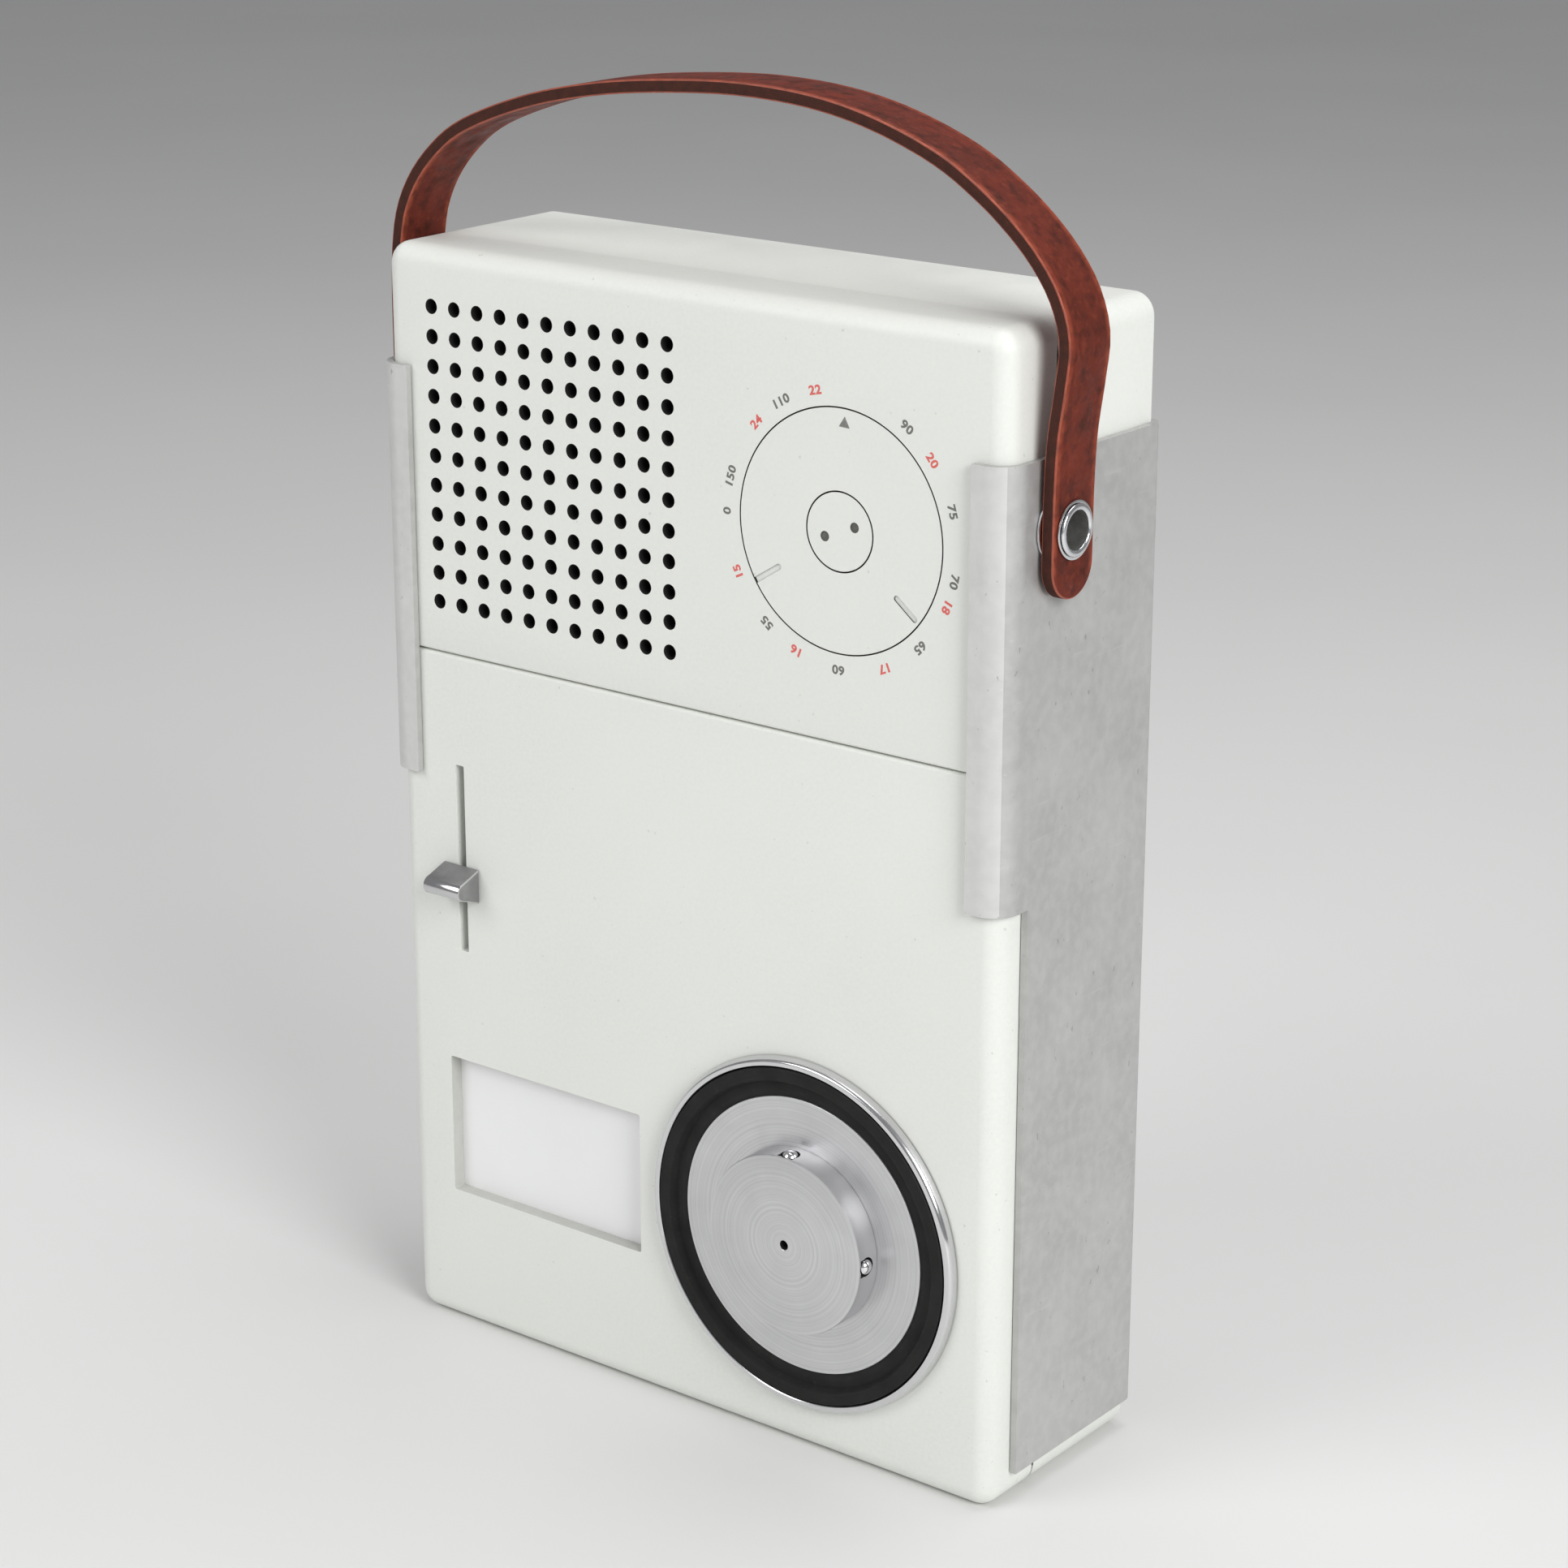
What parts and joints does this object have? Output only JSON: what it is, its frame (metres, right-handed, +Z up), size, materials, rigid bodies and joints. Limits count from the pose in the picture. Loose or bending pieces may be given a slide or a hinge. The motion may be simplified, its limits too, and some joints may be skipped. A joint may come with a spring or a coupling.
{
  "type": "portable radio record player",
  "caption": "Slim portable radio stacked on a small record player in a bent aluminium carrier, with a leather carrying strap, tuning dial and turntable",
  "frame": {"origin": "middle of the case's underside, on the surface it stands on", "axes": "+Z up, -Y out of the front face, +X to the right seen from the front"},
  "size_m": [0.1665, 0.0566, 0.2726],
  "materials": {
    "case_white": "fine matte off-white",
    "aluminium": "satin, lightly mottled",
    "leather": "red-brown, waxed",
    "chrome": "polished",
    "steel": "plain",
    "brass": "turned",
    "rubber": "matt black",
    "black_fabric": "open weave",
    "black_plastic": "matt",
    "white_plastic": "smooth white",
    "tan_plastic": "moulded",
    "board": "laminate",
    "cell_wrap": "printed wrap, no lettering",
    "ferrite": "dark grey"
  },
  "bodies": {
    "case": {"radio_front_shell": "case_white", "radio_back_shell": "case_white", "player_front_shell": "case_white", "player_back_shell": "case_white", "radio_case_screw_1": "steel", "radio_case_screw_2": "steel", "player_case_screw_1": "steel", "player_case_screw_2": "steel", "carrier_sheet": "aluminium", "carrier_screw_1": "steel", "carrier_screw_2": "steel", "eyelet_right": "chrome", "eyelet_left": "chrome", "spacer_washer_right": "chrome", "spacer_washer_left": "chrome", "volume_control": "steel", "tuning_capacitor": "steel", "speaker_cloth": "black_fabric", "speaker_frame": "steel", "speaker_cone": "black_fabric", "speaker_magnet": "steel", "radio_circuit_board": "board", "ferrite_rod": "ferrite", "aerial_coil": "brass", "radio_battery": "cell_wrap", "link_plug": "black_plastic", "bearing_sleeve": "brass", "player_chassis": "steel", "motor": "steel", "drive_belt": "rubber", "player_cell_1": "cell_wrap", "player_cell_2": "cell_wrap", "pickup_pivot": "steel"},
    "strap": {"leather_strap": "leather", "strap_washer_right": "chrome", "strap_washer_left": "chrome"},
    "dial": {"tuning_dial": "case_white"},
    "volume": {"volume_knob": "case_white"},
    "drum": {"tuning_drum": "tan_plastic"},
    "turntable": {"platter": "aluminium", "record_hub": "aluminium", "rubber_mat": "rubber", "catch_ball_1": "chrome", "catch_ball_2": "chrome", "catch_ball_3": "chrome", "catch_ball_4": "chrome", "spindle": "steel", "drive_wheel": "tan_plastic"},
    "motor_shaft": {"motor_pulley": "brass"},
    "pickup": {"pickup_arm": "aluminium", "pickup_cartridge": "black_plastic", "stylus": "steel"},
    "pickup_slide": {"slide_knob": "chrome", "slide_carriage": "steel", "pickup_shutter": "white_plastic"}
  },
  "joints": [
    {"name": "strap_swing", "type": "hinge", "parent": "case", "child": "strap", "pos_m": [0, -0.01, 0.1972], "axis": [1, 0, 0], "range_deg": [-25, 150]},
    {"name": "dial_turn", "type": "hinge", "parent": "case", "child": "dial", "pos_m": [0.0387, -0.024, 0.19285], "axis": [0, -1, 0], "range_deg": [-241, 92]},
    {"name": "volume_turn", "type": "hinge", "parent": "case", "child": "volume", "pos_m": [0.0387, -0.024, 0.19285], "axis": [0, -1, 0], "range_deg": [-150, 120]},
    {"name": "drum_turn", "type": "hinge", "parent": "case", "child": "drum", "pos_m": [0.05185, -0.0155, 0.17718], "axis": [0, -1, 0], "range_deg": [-50, 131]},
    {"name": "turntable_turn", "type": "hinge", "parent": "case", "child": "turntable", "pos_m": [0.03075, -0.024, 0.04745], "axis": [0, -1, 0], "continuous": true},
    {"name": "motor_turn", "type": "hinge", "parent": "case", "child": "motor_shaft", "pos_m": [0.048, -0.0145, 0.118], "axis": [0, -1, 0], "continuous": true},
    {"name": "pickup_swing", "type": "hinge", "parent": "case", "child": "pickup", "pos_m": [-0.038, -0.012, 0.0909], "axis": [0, -1, 0], "range_deg": [-19.5, 19.5]},
    {"name": "pickup_slide_travel", "type": "slide", "parent": "case", "child": "pickup_slide", "axis": [0, 0, 1], "range_m": [-0.012, 0.022]}
  ],
  "couplings": [
    {"joint": "drum_turn", "follows": "dial_turn", "ratio": -0.54054},
    {"joint": "motor_turn", "follows": "turntable_turn", "ratio": 6.6667}
  ]
}
